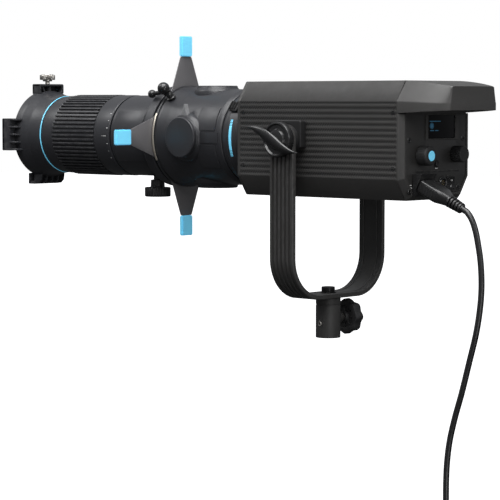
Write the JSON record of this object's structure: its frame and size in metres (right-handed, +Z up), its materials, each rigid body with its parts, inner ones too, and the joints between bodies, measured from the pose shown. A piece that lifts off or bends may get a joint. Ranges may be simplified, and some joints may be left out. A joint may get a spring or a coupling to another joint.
{
  "type": "led spotlight head with projection attachment",
  "caption": "LED studio spotlight with a zoom projection lens, framing shutters, gel frame holder, tilting yoke, stand socket and mains lead.",
  "frame": {"origin": "centre of the stand socket's mouth, on the yoke's turning axis", "axes": "+Z up through the yoke to the tilt axis, -X along the beam, +X out of the control panel, the tilt axis along Y"},
  "size_m": [0.7635, 0.2494, 0.6977],
  "materials": {
    "housing_metal": "fine textured charcoal powder coat",
    "barrel_polymer": "smooth satin dark grey moulding",
    "black_plastic": "matt black moulding",
    "black_metal": "black oxide steel",
    "blue_plastic": "sky blue satin moulding",
    "nickel_steel": "nickel-plated, turned",
    "heat_sink_aluminium": "plain extruded",
    "circuit_board": "green lacquered laminate",
    "phosphor": "yellow silicone over the emitters",
    "optical_glass": "polished, coated",
    "display_glass": "black glossy window",
    "cable_rubber": "matt black jacket"
  },
  "bodies": {
    "stand_mount": {"stand_receiver": "housing_metal", "receiver_grub_screw": "nickel_steel", "yoke": "housing_metal", "yoke_bolt": "black_metal", "mains_cord": "cable_rubber", "cord_coil": "cable_rubber", "mains_plug": "cable_rubber"},
    "receiver_knob": {"receiver_lock_knob": "black_plastic"},
    "tilt_lever": {"tilt_lock_lever": "black_plastic"},
    "head": {"pivot_block_far": "black_plastic", "pivot_block_near": "black_plastic", "far_pivot_bolt": "black_metal", "head_shell": "housing_metal", "front_plate": "housing_metal", "rear_bezel": "housing_metal", "hood": "housing_metal", "rear_panel": "black_plastic", "display_window": "display_glass", "control_socket": "black_plastic", "mains_inlet": "black_plastic", "heat_sink": "heat_sink_aluminium", "led_board": "circuit_board", "led_emitter": "phosphor", "fan_frame": "black_plastic", "power_board": "circuit_board", "control_board": "circuit_board", "mount_ring": "barrel_polymer", "projector_housing": "barrel_polymer", "gate_ring": "nickel_steel", "side_cap_near": "barrel_polymer", "side_cap_far": "barrel_polymer", "condenser_lens": "optical_glass", "shutter_drum": "barrel_polymer", "lens_collar": "barrel_polymer", "lens_tube": "black_metal", "accent_ring": "blue_plastic", "objective_lens": "optical_glass", "gel_holder": "barrel_polymer", "mains_connector": "cable_rubber"},
    "dimmer": {"dimmer_knob": "black_plastic"},
    "selector": {"selector_knob": "black_plastic"},
    "menu": {"menu_button": "black_plastic"},
    "power_switch": {"power_rocker": "black_plastic"},
    "fan": {"fan_rotor": "black_plastic"},
    "latch": {"mount_latch": "black_plastic"},
    "shutter_top": {"shutter_blade_top": "black_metal", "shutter_grip_top": "blue_plastic"},
    "shutter_bottom": {"shutter_blade_bottom": "black_metal", "shutter_grip_bottom": "blue_plastic"},
    "shutter_near": {"shutter_blade_near": "black_metal", "shutter_grip_near": "blue_plastic"},
    "shutter_far": {"shutter_blade_far": "black_metal", "shutter_grip_far": "blue_plastic"},
    "lens_knob": {"lens_lock_knob": "black_plastic"},
    "clamp": {"clamp_lever": "black_metal"},
    "zoom": {"zoom_ring": "barrel_polymer"},
    "carriage": {"lens_carriage": "black_metal", "zoom_lens": "optical_glass"},
    "gel_screw": {"gel_thumbscrew": "nickel_steel"}
  },
  "joints": [
    {"name": "head_tilt", "type": "hinge", "parent": "stand_mount", "child": "head", "pos_m": [0, 0, 0.2356], "axis": [0, 1, 0], "range_deg": [-60, 60]},
    {"name": "tilt_lever_turn", "type": "hinge", "parent": "stand_mount", "child": "tilt_lever", "pos_m": [0, -0.088, 0.2356], "axis": [0, 1, 0], "range_deg": [-30, 120]},
    {"name": "receiver_knob_turn", "type": "hinge", "parent": "stand_mount", "child": "receiver_knob", "pos_m": [0, 0.035, 0.0226], "axis": [0, 1, 0], "continuous": true},
    {"name": "dimmer_turn", "type": "hinge", "parent": "head", "child": "dimmer", "pos_m": [0.168, -0.0275, 0.2188], "axis": [1, 0, 0], "continuous": true},
    {"name": "selector_turn", "type": "hinge", "parent": "head", "child": "selector", "pos_m": [0.168, 0.0333, 0.2196], "axis": [1, 0, 0], "continuous": true},
    {"name": "menu_press", "type": "slide", "parent": "head", "child": "menu", "axis": [-1, 0, 0], "range_m": [0, 0.001], "stiffness_N_per_m": 400, "springref_m": -0.0005},
    {"name": "power_switch_rock", "type": "hinge", "parent": "head", "child": "power_switch", "pos_m": [0.1585, 0.0259, 0.1868], "axis": [0, 1, 0], "range_deg": [0, 6]},
    {"name": "fan_spin", "type": "hinge", "parent": "head", "child": "fan", "pos_m": [0.0425, 0, 0.2356], "axis": [1, 0, 0], "continuous": true},
    {"name": "latch_slide", "type": "slide", "parent": "head", "child": "latch", "axis": [-1, 0, 0], "range_m": [0, 0.003], "stiffness_N_per_m": 300, "springref_m": -0.001},
    {"name": "shutter_top_slide", "type": "slide", "parent": "head", "child": "shutter_top", "axis": [0, 0, -1], "range_m": [0, 0.03]},
    {"name": "shutter_bottom_slide", "type": "slide", "parent": "head", "child": "shutter_bottom", "axis": [0, 0, 1], "range_m": [0, 0.03]},
    {"name": "shutter_near_slide", "type": "slide", "parent": "head", "child": "shutter_near", "axis": [0, 1, 0], "range_m": [0, 0.03]},
    {"name": "shutter_far_slide", "type": "slide", "parent": "head", "child": "shutter_far", "axis": [0, -1, 0], "range_m": [0, 0.03]},
    {"name": "lens_knob_turn", "type": "hinge", "parent": "head", "child": "lens_knob", "pos_m": [-0.287, 0, 0.1656], "axis": [0, 0, 1], "continuous": true},
    {"name": "clamp_turn", "type": "hinge", "parent": "head", "child": "clamp", "pos_m": [-0.2215, -0.04178, 0.28539], "axis": [0, -0.6428, 0.766], "range_deg": [-40, 40]},
    {"name": "zoom_turn", "type": "hinge", "parent": "head", "child": "zoom", "pos_m": [-0.39, 0, 0.2356], "axis": [1, 0, 0], "range_deg": [-45, 45]},
    {"name": "carriage_slide", "type": "slide", "parent": "head", "child": "carriage", "axis": [1, 0, 0], "range_m": [-0.032, 0.032]},
    {"name": "gel_screw_turn", "type": "hinge", "parent": "head", "child": "gel_screw", "pos_m": [-0.496, 0, 0.3106], "axis": [0, 0, 1], "continuous": true}
  ],
  "couplings": [
    {"joint": "carriage_slide", "follows": "zoom_turn", "m_per_rad": -0.035}
  ]
}
